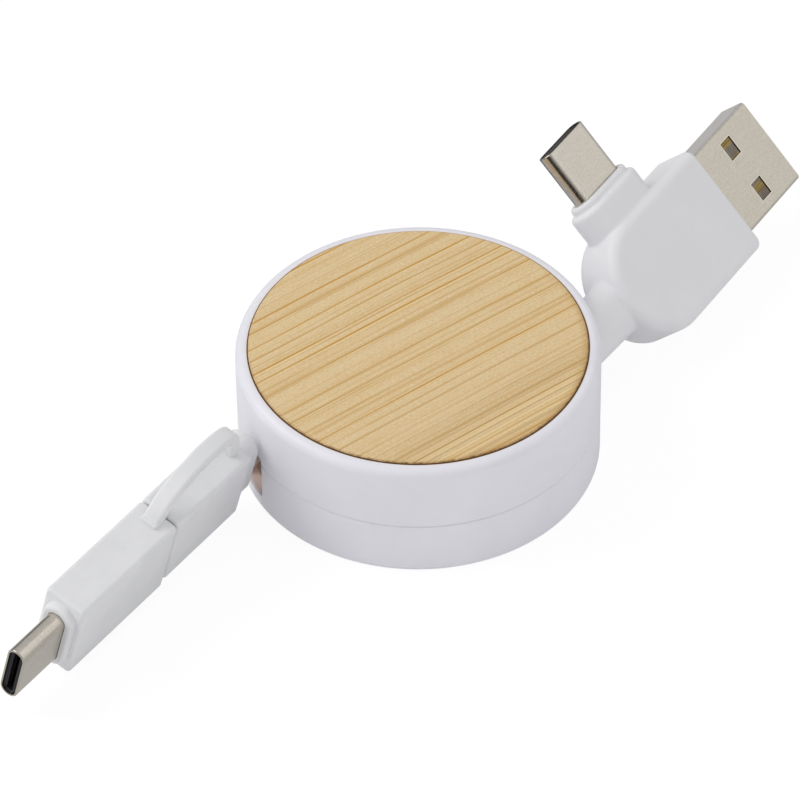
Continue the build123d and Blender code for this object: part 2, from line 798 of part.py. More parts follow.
# Strap: a band that arches from the adapter's back to the plug's tail
strap_foot = plug_width / 2
strap_front = adapter_rear + strap_front_set
strap_rear = plug_rear + strap_rear_set
strap_points = [
    (strap_front, strap_foot - strap_thickness),
    (strap_front - strap_front_lean, strap_foot + strap_shoulder),
    (adapter_rear - strap_peak_set, strap_foot + strap_rise),
    (strap_rear + strap_rear_lean, strap_foot + strap_crown),
    (strap_rear, strap_foot - strap_thickness),
]
with BuildPart() as strap:
    with BuildSketch(left_broad):
        with BuildLine():
            FilletPolyline(*strap_points, radius=strap_bends)
        trace(line_width=strap_thickness)
    extrude(amount=strap_width / 2, both=True)
    top_face = Plane(left_broad.origin + left_broad.y_dir * strap_foot, z_dir=left_broad.y_dir)
    split(bisect_by=top_face, keep=Keep.TOP)
    with BuildSketch(left_broad):
        with Locations((strap_front + strap_pad_length / 2, strap_foot + strap_pad_height / 2)):
            Rectangle(strap_pad_length, strap_pad_height)
    extrude(amount=strap_width / 2, both=True)
save(strap, "strap")
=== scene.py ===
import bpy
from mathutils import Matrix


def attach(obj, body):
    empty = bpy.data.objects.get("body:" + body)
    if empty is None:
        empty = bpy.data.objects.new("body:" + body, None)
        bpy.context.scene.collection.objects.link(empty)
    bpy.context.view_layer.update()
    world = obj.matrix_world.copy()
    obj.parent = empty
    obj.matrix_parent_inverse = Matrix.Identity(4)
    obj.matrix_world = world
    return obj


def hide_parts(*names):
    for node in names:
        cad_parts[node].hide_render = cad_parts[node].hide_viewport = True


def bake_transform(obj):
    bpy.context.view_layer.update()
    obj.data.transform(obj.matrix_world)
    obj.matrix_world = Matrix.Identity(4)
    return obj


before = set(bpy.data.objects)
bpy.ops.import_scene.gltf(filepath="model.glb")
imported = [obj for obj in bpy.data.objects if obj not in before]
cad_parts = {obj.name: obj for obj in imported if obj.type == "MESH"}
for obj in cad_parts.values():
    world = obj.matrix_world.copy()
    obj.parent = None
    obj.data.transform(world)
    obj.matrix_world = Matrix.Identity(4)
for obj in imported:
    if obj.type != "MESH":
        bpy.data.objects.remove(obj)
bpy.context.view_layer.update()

from math import cos, pi, radians, sin, sqrt

import bmesh
import bpy
import numpy as np
from mathutils import Matrix, Vector

# Sizes of the model, in metres
MM = 0.001
casing_radius = 21.5 * MM
inner_radius = 20.0 * MM
seam_height = 7.2 * MM
recess_radius = 20.1 * MM
disc_radius = 20.0 * MM
disc_edge_height = 15.9 * MM
hub_radius = 8.65 * MM
coil_radius = 17.1 * MM
coil_height = 7.5 * MM
cable_width = 3.4 * MM
cable_thickness = 0.95 * MM
pocket_depth = 1.5 * MM
lead_splay = radians(1.75)
right_offset, right_height, right_roll = 12.2 * MM, 8.7 * MM, radians(45.4)
left_offset, left_height, left_roll = 11.0 * MM, 7.5 * MM, radians(15.0)
left_cable_height = 6.3 * MM
right_neck_end = 18.066 * MM
left_neck_end = 20.45 * MM
head_tail_centre, head_tail_drop, head_tail_radius = 31.3 * MM, 0.3 * MM, 7.6 * MM
boss_centre, boss_foot = 34.05 * MM, 7.3 * MM
boss_length, boss_thickness = 11.5 * MM, 5.4 * MM
neck_width, neck_thickness = 7.3 * MM, 5.2 * MM
type_a_half_width, type_a_half_height = 6.0 * MM, 2.25 * MM
window_along, window_off_centre = 53.30 * MM, 3.15 * MM
window_half_length, window_half_width = 1.05 * MM, 1.275 * MM
strap_width, strap_thickness, strap_edge = 2.25 * MM, 1.52 * MM, 0.42 * MM

# Way of the bamboo's grain, and the sides on which its edge is burnt and browned most
grain_turn = radians(18.5)
burnt_side = (-0.66, -0.75, 0.0)
browned_side = (0.17, -0.98, 0.0)

up = Vector((0, 0, 1))
right_axis = Vector((cos(lead_splay), sin(lead_splay), 0))
left_axis = Vector((-cos(lead_splay), sin(lead_splay), 0))


def lead_frame(axis, offset, height, roll):
    """Frame of a lead: x outwards along it, y its wide way, z out of its broad face."""
    side = axis.cross(up)
    wide = up * cos(roll) - side * sin(roll)
    turn = Matrix((axis, wide, axis.cross(wide))).transposed().to_4x4()
    return Matrix.Translation(side * offset + up * height) @ turn


right_frame = lead_frame(right_axis, right_offset, right_height, right_roll)
left_frame = lead_frame(left_axis, left_offset, left_height, left_roll)


class Bench:
    """A node tree with short calls that place nodes in it and join them."""

    def __init__(self, tree):
        self.tree = tree

    def put(self, kind, inputs=None, **settings):
        """Place a node with its settings, and feed its inputs."""
        node = self.tree.nodes.new(kind)
        for name, value in settings.items():
            setattr(node, name, value)
        for key, value in (inputs or {}).items():
            self.feed(node.inputs[key], value)
        return node

    def feed(self, socket, value):
        """Link a socket to another socket, or set it to a value."""
        if isinstance(value, bpy.types.NodeSocket):
            self.tree.links.new(value, socket)
        elif socket.type == "RGBA" and len(value) == 3:
            socket.default_value = (*value, 1.0)
        else:
            socket.default_value = value

    def math(self, operation, a, b=0.0, c=0.0):
        node = self.put("ShaderNodeMath", operation=operation)
        for socket, value in zip(node.inputs, (a, b, c)):
            self.feed(socket, value)
        return node.outputs[0]

    def plus(self, a, b):
        return self.math("ADD", a, b)

    def minus(self, a, b):
        return self.math("SUBTRACT", a, b)

    def times(self, a, b):
        return self.math("MULTIPLY", a, b)

    def times_plus(self, a, b, c):
        return self.math("MULTIPLY_ADD", a, b, c)

    def larger(self, a, b):
        return self.math("MAXIMUM", a, b)

    def unsigned(self, a):
        return self.math("ABSOLUTE", a)

    def scaled(self, vector, scale):
        inputs = {"Vector": vector, "Scale": scale}
        return self.put("ShaderNodeVectorMath", inputs, operation="SCALE").outputs["Vector"]

    def length(self, vector):
        return self.put("ShaderNodeVectorMath", {"Vector": vector}, operation="LENGTH").outputs["Value"]

    def dot(self, a, b):
        node = self.put("ShaderNodeVectorMath", {0: a, 1: b}, operation="DOT_PRODUCT")
        return node.outputs["Value"]

    def split(self, vector):
        return self.put("ShaderNodeSeparateXYZ", {"Vector": vector}).outputs

    def join(self, x, y, z):
        return self.put("ShaderNodeCombineXYZ", {"X": x, "Y": y, "Z": z}).outputs[0]

    def noise(self, vector, scale, detail=2.0, roughness=0.5, distortion=0.0):
        inputs = {"Vector": vector, "Scale": scale, "Detail": detail}
        inputs.update({"Roughness": roughness, "Distortion": distortion})
        return self.put("ShaderNodeTexNoise", inputs).outputs["Fac"]

    def step(self, value, low, high, to_low=0.0, to_high=1.0):
        """A soft step of a value: to_low up to low, to_high from high on."""
        inputs = {"Value": value, "From Min": low, "From Max": high, "To Min": to_low, "To Max": to_high}
        return self.put("ShaderNodeMapRange", inputs, interpolation_type="SMOOTHSTEP").outputs[0]

    def mix(self, share, a, b):
        node = self.put("ShaderNodeMix", data_type="RGBA")
        for key, value in (("Factor", share), ("A", a), ("B", b)):
            self.feed(node.inputs[key], value)
        return node.outputs["Result"]

    def group(self, tree, inputs):
        node = self.put("ShaderNodeGroup", node_tree=tree)
        for key, value in inputs.items():
            self.feed(node.inputs[key], value)
        return node.outputs


# Node groups shared by several finishes

def new_group(name, takes, gives):
    """An empty shader node group, and its input and output nodes. Its first socket takes the place."""
    tree = bpy.data.node_groups.new(name, "ShaderNodeTree")
    tree.interface.new_socket("Place", in_out="INPUT", socket_type="NodeSocketVector")
    for label in takes:
        tree.interface.new_socket(label, in_out="INPUT", socket_type="NodeSocketFloat")
    for label in gives:
        tree.interface.new_socket(label, in_out="OUTPUT", socket_type="NodeSocketFloat")
    return tree, tree.nodes.new("NodeGroupInput").outputs, tree.nodes.new("NodeGroupOutput").inputs


def make_moulded_skin():
    """Skin of moulded plastic: spark-eroded grain, soft flow blotches and a few dust specks."""
    tree, source, result = new_group("Moulded skin", ("Grain", "Blotch"), ("Height", "Tone", "Dust"))
    bench = Bench(tree)
    place = bench.scaled(source["Place"], 1000.0)
    grain = bench.noise(place, source["Grain"], 3.0, 0.6)
    pits = bench.put("ShaderNodeTexVoronoi", {"Vector": place, "Scale": source["Grain"]}, feature="SMOOTH_F1")
    blotch = bench.noise(place, source["Blotch"], 4.0, 0.55, 0.6)
    specks = bench.put("ShaderNodeTexVoronoi", {"Vector": place, "Scale": 0.55})
    height = bench.plus(bench.times(grain, 0.7), bench.times(pits.outputs["Distance"], 0.3))
    bench.feed(result["Height"], height)
    bench.feed(result["Tone"], bench.plus(bench.times(blotch, 0.8), bench.times(grain, 0.2)))
    bench.feed(result["Dust"], bench.step(specks.outputs["Distance"], 0.02, 0.045, 1.0, 0.0))
    return tree


def make_metal_skin():
    """Skin of plated sheet: fine speckled grain, drawn lines along one way and faint stains."""
    tree, source, result = new_group("Metal skin", ("Grain", "Draw"), ("Height", "Tone", "Stain"))
    bench = Bench(tree)
    place = bench.scaled(source["Place"], 1000.0)
    grain = bench.noise(place, source["Grain"], 4.0, 0.7)
    along, across, out = bench.split(place)
    lines = bench.noise(bench.join(bench.times(along, 0.12), across, out), source["Draw"], 2.0, 0.6)
    speckle = bench.plus(bench.times(grain, 0.85), bench.times(lines, 0.15))
    bench.feed(result["Height"], speckle)
    bench.feed(result["Tone"], speckle)
    bench.feed(result["Stain"], bench.noise(place, 0.45, 3.0, 0.6, 1.2))
    return tree


moulded_skin = make_moulded_skin()
metal_skin = make_metal_skin()


# Finishes

class Finish(Bench):
    """A material of this object: its shader, and its place in object coordinates."""

    def __init__(self, name):
        self.material = bpy.data.materials.new(name)
        self.material.use_nodes = True
        super().__init__(self.material.node_tree)
        self.shader = self.tree.nodes["Principled BSDF"]
        self.place = self.put("ShaderNodeTexCoord").outputs["Object"]

    def in_lead(self, lead):
        """Object coordinates in the frame of a lead."""
        turn = lead.inverted()
        inputs = {"Vector": self.place, "Location": turn.to_translation(), "Rotation": turn.to_euler()}
        return self.put("ShaderNodeMapping", inputs, vector_type="POINT").outputs[0]

    def set(self, **values):
        for key, value in values.items():
            self.feed(self.shader.inputs[key.replace("_", " ")], value)

    def bump(self, height, depth):
        self.set(Normal=self.put("ShaderNodeBump", {"Height": height, "Distance": depth}).outputs[0])


def moulded(name, dark, light, grain, blotch, depth, rough):
    """A moulded plastic: its finish and its base colour."""
    finish = Finish(name)
    skin = finish.group(moulded_skin, {"Place": finish.place, "Grain": grain, "Blotch": blotch})
    colour = finish.mix(finish.step(skin["Tone"], 0.3, 0.7), dark, light)
    colour = finish.mix(finish.times(skin["Dust"], 0.12), colour, (0.42, 0.40, 0.38))
    roughness = finish.step(skin["Tone"], 0.25, 0.75, rough - 0.05, rough + 0.05)
    finish.set(Base_Color=colour, Roughness=roughness)
    finish.bump(skin["Height"], depth * MM)
    return finish, colour


def make_casing_white():
    """White plastic of both shells, with a dusty seam, painted light and glow on the slot walls, and painted shade in
    the disc recess.
    """
    finish, colour = moulded("Casing white", (0.765, 0.757, 0.800), (0.800, 0.793, 0.832), 5.0, 0.10, 0.012, 0.42)
    x, y, height = finish.split(finish.place)
    radius = finish.length(finish.join(x, y, 0.0))
    off_seam = finish.unsigned(finish.minus(height, seam_height))
    seam = finish.step(off_seam, 0.06 * MM, 0.20 * MM, 0.10, 0.0)
    colour = finish.mix(seam, colour, (0.52, 0.47, 0.43))
    # Painted light on the slot walls: brown near the inside, pinkish grey near the outer skin, for the light that
    # fills the slot
    behind_skin = finish.step(radius, casing_radius - 0.4 * MM, casing_radius - 0.06 * MM, 0.95, 0.0)
    above_floor = finish.step(height, 1.5 * MM, 1.9 * MM)
    below_rim = finish.step(height, 12.0 * MM, 12.8 * MM, 1.0, 0.0)
    slot_wall = finish.times(behind_skin, finish.times(above_floor, below_rim))
    outer = finish.step(radius, inner_radius - 0.3 * MM, casing_radius - 0.4 * MM)
    slot_light_colour = finish.mix(outer, (0.78, 0.57, 0.44), (0.62, 0.53, 0.52))
    colour = finish.mix(slot_wall, colour, slot_light_colour)
    # Painted shade: the recess wall next to the disc is darkened to brown, for the shade in the gap between disc and
    # rim
    in_recess = finish.step(radius, recess_radius + 0.02 * MM, recess_radius + 0.10 * MM, 1.0, 0.0)
    recess = finish.times(in_recess, finish.step(height, 13.0 * MM, 13.4 * MM))
    colour = finish.mix(recess, colour, (0.50, 0.33, 0.18))
    finish.set(Base_Color=colour, Specular_IOR_Level=0.45)
    # Painted glow on the slot walls, for the same light
    glow = finish.mix(slot_wall, (0.0, 0.0, 0.0), (0.44, 0.30, 0.24))
    finish.set(Emission_Color=glow, Emission_Strength=0.05)
    return finish.material


def make_bamboo():
    """Bamboo ply: soft bands, brown fibre lines with pale edges, fine pores and a burnt rim."""
    finish = Finish("Bamboo")
    flat = finish.scaled(finish.place, 1000.0)
    turned = finish.put("ShaderNodeMapping", {"Vector": flat, "Rotation": (0, 0, grain_turn)})
    along, across = finish.split(turned.outputs[0])[:2]

    def stretched(by_along, by_across, shift, detail=2.0, roughness=0.5):
        """Noise drawn out along the grain; the factors are steps per millimetre."""
        where = finish.join(finish.times(along, by_along), finish.times(across, by_across), shift)
        return finish.noise(where, 1.0, detail, roughness)

    wander = stretched(0.03, 0.06, 2.0, 1.0)
    across = finish.times_plus(wander, 0.9, across)
    fade = stretched(0.06, 0.7, 3.0)

    def fibre_lines(per_mm, shift, width, low, high):
        """Thin lines at uneven steps across the grain: their mask, and random values of each line."""
        inputs = {"W": finish.times_plus(across, per_mm, shift), "Scale": 1.0, "Randomness": 0.8}
        cell = finish.put("ShaderNodeTexVoronoi", inputs, voronoi_dimensions="1D")
        line = finish.step(cell.outputs["Distance"], width * per_mm * 0.25, width * per_mm, 1.0, 0.0)
        own = finish.split(cell.outputs["Color"])
        return finish.times(line, finish.step(own[0], low, high)), own

    bold, bold_own = fibre_lines(0.52, 3.30, 0.20, 0.02, 0.30)
    pale = fibre_lines(0.52, 3.39, 0.13, 0.25, 0.60)[0]
    halo = fibre_lines(0.52, 3.27, 0.45, 0.10, 0.60)[0]
    second = fibre_lines(0.58, 11.40, 0.19, 0.12, 0.60)[0]
    fine = fibre_lines(1.30, 7.90, 0.12, 0.28, 0.80)[0]
    thread = fibre_lines(2.10, 5.35, 0.085, 0.25, 0.75)[0]
    hair = fibre_lines(3.60, 1.70, 0.060, 0.25, 0.75)[0]
    dense = finish.step(finish.times_plus(fade, 2.0, across), -15.0, -7.5, 1.0, 0.0)
    streak = stretched(0.02, 0.60, 5.0)
    fibres = stretched(0.30, 5.0, 8.0, 4.0, 0.65)
    pores = stretched(2.2, 6.4, 14.0, 2.0, 0.7)
    mottle = stretched(0.45, 0.9, 21.0, 3.0, 0.6)

    def fading(mask, low, high):
        """A mask whose share goes from low to high and back along the grain."""
        return finish.times(mask, finish.step(fade, 0.30, 0.66, low, high))

    def with_dense(mask, in_dense, elsewhere):
        """A mask that is stronger where the fibres lie dense."""
        return finish.times(mask, finish.times_plus(dense, in_dense, elsewhere))

    spots = finish.put("ShaderNodeTexVoronoi", {"Vector": flat, "Scale": 0.75})
    spot_own = finish.split(spots.outputs["Color"])[0]
    spot = finish.times(finish.step(spots.outputs["Distance"], 0.03, 0.08, 0.5, 0.0), finish.step(spot_own, 0.6, 0.8))

    # the edge is burnt and browned by cutting, each more on one side
    x, y, height = finish.split(finish.place)
    radius = finish.length(finish.join(x, y, 0.0))
    burnt = finish.step(finish.dot(finish.place, burnt_side), -14.0 * MM, 8.0 * MM, 0.08, 1.0)
    ragged = finish.times_plus(finish.noise(flat, 1.6, 4.0, 0.75), 0.5 * MM, radius)
    browned = finish.step(finish.dot(finish.place, browned_side), 4.0 * MM, 18.0 * MM)
    scorch = finish.step(ragged, disc_radius - 0.90 * MM, disc_radius + 0.30 * MM, 0.0, 0.55)
    toast = finish.step(ragged, disc_radius - 0.10 * MM, disc_radius + 0.40 * MM, 0.0, 0.75)
    char = finish.step(ragged, disc_radius + 0.12 * MM, disc_radius + 0.32 * MM)
    side = finish.step(height, disc_edge_height + 0.02 * MM, disc_edge_height + 0.12 * MM, 1.0, 0.0)

    # tints laid over each other, from the ground colour up
    brown = finish.mix(finish.step(bold_own[2], 0.45, 0.70), (0.515, 0.250, 0.036), (0.510, 0.315, 0.115))
    colour = finish.mix(finish.step(streak, 0.30, 0.70), (0.693, 0.505, 0.258), (0.732, 0.560, 0.315))
    for mask, tint in (
            (finish.times(bold_own[1], 0.30), (0.740, 0.545, 0.280)),
            (fading(halo, 0.15, 0.50), (0.690, 0.440, 0.130)),
            (finish.step(mottle, 0.52, 0.75, 0.0, 0.28), (0.790, 0.640, 0.420)),
            (finish.step(mottle, 0.48, 0.25, 0.0, 0.40), (0.680, 0.455, 0.180)),
            (finish.step(fibres, 0.52, 0.78, 0.0, 0.20), (0.820, 0.650, 0.390)),
            (finish.step(fibres, 0.48, 0.22, 0.0, 0.20), (0.560, 0.370, 0.150)),
            (finish.step(pores, 0.50, 0.70, 0.0, 0.46), (0.540, 0.375, 0.180)),
            (finish.step(pores, 0.50, 0.30, 0.0, 0.42), (0.870, 0.710, 0.470)),
            (fading(second, 0.66, 0.14), (0.540, 0.325, 0.100)),
            (fading(bold, 0.50, 0.95), brown),
            (fading(pale, 0.10, 0.60), (0.880, 0.690, 0.380)),
            (fading(fine, 0.62, 0.20), (0.545, 0.310, 0.080)),
            (finish.times(dense, 0.25), (0.600, 0.415, 0.190)),
            (with_dense(thread, 0.62, 0.06), (0.920, 0.740, 0.400)),
            (with_dense(hair, 0.70, 0.05), (0.330, 0.165, 0.045)),
            (spot, (0.300, 0.185, 0.085)),
            (finish.times(scorch, browned), (0.460, 0.270, 0.075)),
            (finish.times(toast, burnt), (0.300, 0.145, 0.040)),
            (finish.times(char, burnt), (0.150, 0.072, 0.024)),
            (side, (0.300, 0.190, 0.100)),
            (finish.times(side, burnt), (0.130, 0.062, 0.020))):
        colour = finish.mix(mask, colour, tint)

    grooves = finish.times_plus(bold, 0.5, finish.times(hair, 0.25))
    grit = finish.times_plus(fibres, 0.6, finish.times(pores, 0.5))
    finish.set(Base_Color=colour, Roughness=finish.step(fibres, 0.3, 0.7, 0.52, 0.64), Specular_IOR_Level=0.3)
    finish.bump(finish.minus(grit, grooves), 0.025 * MM)
    return finish.material


def make_head_white():
    finish = moulded("Head white", (0.750, 0.749, 0.760), (0.775, 0.774, 0.783), 4.0, 0.12, 0.012, 0.52)[0]
    finish.set(Specular_IOR_Level=0.4)
    return finish.material


def make_lead_grey():
    finish = moulded("Lead grey", (0.735, 0.738, 0.742), (0.785, 0.787, 0.790), 7.0, 0.16, 0.030, 0.62)[0]
    finish.set(Specular_IOR_Level=0.35, Sheen_Weight=0.05, Sheen_Roughness=0.5)
    return finish.material


def make_cable_white():
    return moulded("Cable white", (0.72, 0.715, 0.705), (0.77, 0.765, 0.755), 6.0, 0.3, 0.015, 0.55)[0].material


def make_drum_painted_light():
    """Plastic of the drum, given a beige colour that stands in for the brownish light inside the casing; its faint
    painted glow stands for light through the thin casing.
    """
    # Painted light: beige colour and glow for the light inside the casing
    finish, colour = moulded("Drum painted light", (0.60, 0.43, 0.33), (0.66, 0.49, 0.38), 4.0, 0.15, 0.015, 0.5)
    finish.set(Emission_Color=colour, Emission_Strength=0.11)
    return finish.material


def make_insert_black():
    finish = moulded("Insert black", (0.008, 0.008, 0.011), (0.015, 0.015, 0.020), 9.0, 0.6, 0.006, 0.38)[0]
    finish.set(Specular_IOR_Level=0.18)
    return finish.material


def make_insulator_grey():
    """Grey tongue of the type A plug; its faint glow stands for light through the plug's open end."""
    finish, colour = moulded("Insulator grey", (0.70, 0.64, 0.60), (0.78, 0.72, 0.68), 6.0, 0.4, 0.010, 0.55)
    finish.set(Emission_Color=colour, Emission_Strength=0.05)
    return finish.material


def plated(name, lead, dark, light, grain, draw, depth, rough, spread):
    """A plated sheet, drawn along its lead: its finish, its base colour and its place in the lead."""
    finish = Finish(name)
    place = finish.in_lead(lead) if lead else finish.place
    skin = finish.group(metal_skin, {"Place": place, "Grain": grain, "Draw": draw})
    colour = finish.mix(finish.step(skin["Tone"], 0.32, 0.68), dark, light)
    colour = finish.mix(finish.step(skin["Stain"], 0.55, 0.80, 0.0, 0.25), colour, dark)
    roughness = finish.step(skin["Tone"], 0.3, 0.7, rough - spread, rough + spread)
    finish.set(Base_Color=colour, Metallic=1.0, Roughness=roughness)
    finish.bump(skin["Height"], depth * MM)
    return finish, colour, place


def make_type_a_steel():
    """Nickel-plated shell of the type A plug, with a bright rim round its windows, painted shade on their walls and
    painted light on its narrow sides.
    """
    finish, colour, place = plated(
        "Type A steel", right_frame, (0.560, 0.515, 0.434), (0.730, 0.686, 0.598), 6.5, 5.0, 0.012, 0.42, 0.05)
    along, across, out = finish.split(place)
    off_middle = finish.unsigned(across)
    beside = finish.minus(finish.unsigned(finish.minus(off_middle, window_off_centre)), window_half_width)
    ahead = finish.minus(finish.unsigned(finish.minus(along, window_along)), window_half_length)
    off_window = finish.larger(beside, ahead)
    bright_rim = finish.step(off_window, 0.04 * MM, 0.16 * MM, 0.7, 0.0)
    at_window = finish.step(off_window, 0.03 * MM, 0.06 * MM, 1.0, 0.0)
    below_face = finish.step(
        finish.unsigned(out), type_a_half_height - 0.08 * MM, type_a_half_height - 0.02 * MM, 1.0, 0.0)
    lit_narrow_side = finish.step(off_middle, type_a_half_width - 0.15 * MM, type_a_half_width - 0.02 * MM, 0.0, 0.8)
    # A bright rim round each window
    colour = finish.mix(bright_rim, colour, (0.900, 0.860, 0.760))
    # Painted shade on the walls of the windows, inside the sheet
    colour = finish.mix(finish.times(at_window, below_face), colour, (0.085, 0.065, 0.045))
    # Painted light: the narrow sides of the shell are made lighter, for the light they catch
    colour = finish.mix(lit_narrow_side, colour, (0.860, 0.845, 0.830))
    finish.set(Base_Color=colour)
    return finish.material


def make_type_c_steel(name, lead):
    finish = plated(name, lead, (0.580, 0.535, 0.458), (0.676, 0.634, 0.560), 4.0, 2.2, 0.004, 0.20, 0.05)[0]
    return finish.material


def make_hidden_steel():
    finish = plated("Hidden steel", None, (0.40, 0.40, 0.41), (0.52, 0.52, 0.53), 4.0, 2.0, 0.006, 0.30, 0.06)[0]
    return finish.material


def make_contact_gold():
    """Gilt contacts, with painted highlight stripes along the plug for their ridges and a faint painted glow for
    light bounced inside the shell.
    """
    finish, colour, place = plated(
        "Contact gold", right_frame, (0.86, 0.64, 0.22), (0.98, 0.82, 0.40), 6.0, 3.0, 0.004, 0.30, 0.05)
    along, across = finish.split(place)[:2]
    # Painted highlight: dark and bright stripes along the plug, for the light on the contacts' ridges
    stripes = finish.noise(finish.join(finish.times(along, 120.0), finish.times(across, 4200.0), 0.0), 1.0, 1.0)
    colour = finish.mix(finish.step(stripes, 0.58, 0.36, 0.0, 0.75), colour, (0.36, 0.23, 0.05))
    # Painted glow, for light bounced inside the shell
    finish.set(Base_Color=colour, Metallic=0.35, Emission_Color=colour, Emission_Strength=0.10)
    return finish.material


def make_contact_shade():
    """Contacts deep in the type C mouths, painted dark for the shade they lie in."""
    # Painted shade: the contacts are made nearly black
    finish = plated(
        "Contact shade", None, (0.050, 0.042, 0.030), (0.085, 0.070, 0.048), 6.0, 3.0, 0.004, 0.50, 0.05)[0]
    return finish.material


def make_board_green():
    """Lacquered board with cells of copper under the lacquer."""
    finish = Finish("Board green")
    place = finish.scaled(finish.place, 1000.0)
    inputs = {"Vector": place, "Scale": 0.9, "Mortar Size": 0.03}
    inputs.update({"Color1": (0.012, 0.075, 0.032), "Color2": (0.016, 0.100, 0.045), "Mortar": (0.030, 0.160, 0.070)})
    cells = finish.put("ShaderNodeTexBrick", inputs)
    roughness = finish.step(finish.noise(place, 1.0), 0.3, 0.7, 0.25, 0.4)
    finish.set(Base_Color=cells.outputs["Color"], Roughness=roughness)
    return finish.material


casing_white = make_casing_white()
bamboo = make_bamboo()
head_white = make_head_white()
lead_grey = make_lead_grey()
cable_white = make_cable_white()
drum_painted_light = make_drum_painted_light()
insert_black = make_insert_black()
insulator_grey = make_insulator_grey()
type_a_steel = make_type_a_steel()
head_type_c_steel = make_type_c_steel("Head type C steel", right_frame)
adapter_type_c_steel = make_type_c_steel("Adapter type C steel", left_frame)
hidden_steel = make_hidden_steel()
contact_gold = make_contact_gold()
contact_shade = make_contact_shade()
board_green = make_board_green()

finishes = {
    "lower_shell": casing_white,
    "upper_shell": casing_white,
    "bamboo_disc": bamboo,
    "centre_screw": hidden_steel,
    "lock_ball": hidden_steel,
    "drum": drum_painted_light,
    "drum_cover": drum_painted_light,
    "mainspring": hidden_steel,
    "wound_cable": cable_white,
    "left_cable": cable_white,
    "right_cable": cable_white,
    "head_body": head_white,
    "head_board": board_green,
    "type_a_shell": type_a_steel,
    "type_a_insulator": insulator_grey,
    "type_a_contacts": contact_gold,
    "head_type_c_shell": head_type_c_steel,
    "head_type_c_insert": insert_black,
    "head_type_c_contacts": contact_shade,
    "plug_body": lead_grey,
    "plug_shell": hidden_steel,
    "plug_insulator": insert_black,
    "plug_contacts": contact_gold,
    "adapter_body": lead_grey,
    "adapter_board": board_green,
    "socket_liner": hidden_steel,
    "socket_block": insert_black,
    "adapter_type_c_shell": adapter_type_c_steel,
    "adapter_type_c_insert": insert_black,
    "adapter_type_c_contacts": contact_shade,
    "strap": lead_grey,
}
for node_name, material in finishes.items():
    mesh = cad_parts[node_name].data
    mesh.materials.clear()
    mesh.materials.append(material)


# Pieces that follow a path

def make_band_tree():
    """Geometry nodes that run a flat band with rounded edges along a path of points."""
    tree = bpy.data.node_groups.new("Band along a path", "GeometryNodeTree")
    takes = {"Path": "Geometry", "Width": "Float", "Thickness": "Float", "Edge": "Float", "Steps": "Int",
             "Finish": "Material"}
    sockets = {label: tree.interface.new_socket(label, in_out="INPUT", socket_type="NodeSocket" + kind)
               for label, kind in takes.items()}
    tree.interface.new_socket("Band", in_out="OUTPUT", socket_type="NodeSocketGeometry")
    bench = Bench(tree)
    source, result = tree.nodes.new("NodeGroupInput").outputs, tree.nodes.new("NodeGroupOutput").inputs
    line = bench.put("GeometryNodeMeshToCurve", {"Mesh": source["Path"]})
    smooth = bench.put("GeometryNodeCurveSplineType", {"Curve": line.outputs[0]}, spline_type="CATMULL_ROM")
    even = bench.put("GeometryNodeResampleCurve", {"Curve": smooth.outputs[0], "Count": source["Steps"]})
    upright = bench.put("GeometryNodeSetCurveNormal", {"Curve": even.outputs[0]}, mode="Z_UP")
    section = bench.put(
        "GeometryNodeCurvePrimitiveQuadrilateral", {"Width": source["Thickness"], "Height": source["Width"]})
    rounded = bench.put(
        "GeometryNodeFilletCurve", {"Curve": section.outputs[0], "Radius": source["Edge"], "Count": 5}, mode="POLY")
    swept = bench.put(
        "GeometryNodeCurveToMesh",
        {"Curve": upright.outputs[0], "Profile Curve": rounded.outputs[0], "Fill Caps": True})
    shaded = bench.put("GeometryNodeSetShadeSmooth", {"Geometry": swept.outputs[0]})
    real = bench.put("GeometryNodeRealizeInstances", {"Geometry": shaded.outputs[0]})
    painted = bench.put("GeometryNodeSetMaterial", {"Geometry": real.outputs[0], "Material": source["Finish"]})
    bench.feed(result["Band"], painted.outputs[0])
    return tree, {label: socket.identifier for label, socket in sockets.items()}


band_tree, band_sockets = make_band_tree()


def add_object(name, mesh):
    """An object of the mesh, in the scene."""
    piece = bpy.data.objects.new(name, mesh)
    bpy.context.scene.collection.objects.link(piece)
    return piece


def bake(piece):
    """A plain mesh of the object with its modifiers applied."""
    bpy.context.view_layer.update()
    return bpy.data.meshes.new_from_object(piece.evaluated_get(bpy.context.evaluated_depsgraph_get()))


def make_band(name, points, width, thickness, edge, steps, finish):
    """A band along points in a level plane; its wide way stands upright."""
    path = bpy.data.meshes.new(name + "_path")
    path.from_pydata([tuple(point) for point in points], [(k, k + 1) for k in range(len(points) - 1)], [])
    carrier = add_object(name + "_path", path)
    modifier = carrier.modifiers.new("Band", "NODES")
    modifier.node_group = band_tree
    values = {"Width": width, "Thickness": thickness, "Edge": edge, "Steps": steps, "Finish": finish}
    for label, value in values.items():
        modifier[band_sockets[label]] = value
    baked = bake(carrier)
    bpy.data.objects.remove(carrier)
    return add_object(name, baked)


merge_distance = 0.002 * MM


def face_outwards(mesh):
    """Merge doubled points and turn every face outwards."""
    shape = bmesh.new()
    shape.from_mesh(mesh)
    bmesh.ops.remove_doubles(shape, verts=shape.verts, dist=merge_distance)
    bmesh.ops.recalc_face_normals(shape, faces=shape.faces)
    shape.to_mesh(mesh)
    shape.free()


